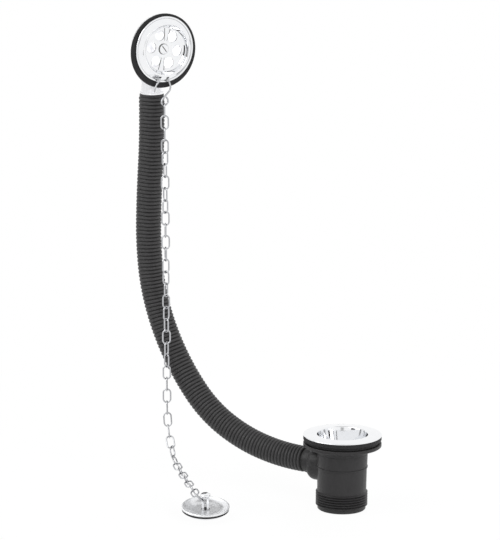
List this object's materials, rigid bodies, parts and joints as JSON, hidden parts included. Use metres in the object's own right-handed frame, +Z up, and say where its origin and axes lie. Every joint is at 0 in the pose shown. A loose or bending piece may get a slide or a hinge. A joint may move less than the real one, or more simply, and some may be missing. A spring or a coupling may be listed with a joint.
{
  "type": "plug and chain bath waste",
  "caption": "Bath waste with a chrome flange, corrugated overflow hose, elbow and chrome rose, and a plug on an oval link chain.",
  "frame": {"origin": "centre of the waste, on the plane of the flange's seat on the bath", "axes": "+Z up out of the bath along the waste, -X from the waste towards the overflow elbow, +Y by the right-hand rule"},
  "size_m": [0.265, 0.1543, 0.443],
  "materials": {
    "chrome": "polished chrome plate",
    "black_rubber": "matt black rubber",
    "charcoal_plastic": "satin moulded charcoal plastic",
    "hose_plastic": "satin corrugated charcoal plastic",
    "white_plastic": "smooth moulded white plastic",
    "brass": "turned brass"
  },
  "bodies": {
    "waste": {"waste_flange": "chrome", "upper_washer": "black_rubber", "lower_washer": "black_rubber", "waste_body": "charcoal_plastic", "overflow_hose": "hose_plastic", "overflow_elbow": "white_plastic", "elbow_insert": "brass", "rose_washer": "black_rubber", "rose_plate": "chrome", "rose_screw": "chrome", "chain_stay": "chrome"},
    "top_link": {"chain_link_01": "chrome"},
    "chain": {"chain_link_02": "chrome", "chain_link_03": "chrome", "chain_link_04": "chrome", "chain_link_05": "chrome", "chain_link_06": "chrome", "chain_link_07": "chrome", "chain_link_08": "chrome", "chain_link_09": "chrome", "chain_link_10": "chrome", "chain_link_11": "chrome", "chain_link_12": "chrome", "chain_link_13": "chrome", "chain_link_14": "chrome", "chain_link_15": "chrome", "chain_link_16": "chrome", "chain_link_17": "chrome", "chain_link_18": "chrome", "chain_link_19": "chrome", "chain_link_20": "chrome", "chain_link_21": "chrome", "chain_link_22": "chrome", "chain_link_23": "chrome", "chain_link_24": "chrome", "chain_link_25": "chrome", "chain_link_26": "chrome", "chain_link_27": "chrome", "chain_link_28": "chrome", "chain_link_29": "chrome", "chain_link_30": "chrome", "chain_link_31": "chrome", "chain_link_32": "chrome", "chain_link_33": "chrome", "chain_link_34": "chrome", "chain_link_35": "chrome", "chain_link_36": "chrome", "chain_link_37": "chrome", "chain_link_38": "chrome", "chain_link_39": "chrome"},
    "plug": {"plug_disc": "chrome", "plug_post": "chrome", "plug_seal": "black_rubber", "plug_foot": "chrome"}
  },
  "joints": [
    {"name": "chain_swing", "type": "hinge", "parent": "waste", "child": "top_link", "pos_m": [-0.19072, -0.01216, 0.2889], "axis": [-0.4067, -0.9135, 0], "range_deg": [0, 80]},
    {"name": "chain_sway", "type": "hinge", "parent": "top_link", "child": "chain", "pos_m": [-0.19028, -0.01255, 0.27776], "axis": [-0.5438, 0.8379, -0.0472], "range_deg": [0, 60]},
    {"name": "plug_tip", "type": "hinge", "parent": "chain", "child": "plug", "pos_m": [-0.08629, -0.09648, -0.05631], "axis": [-0.4867, 0.8508, -0.1983], "range_deg": [-5, 15]}
  ]
}
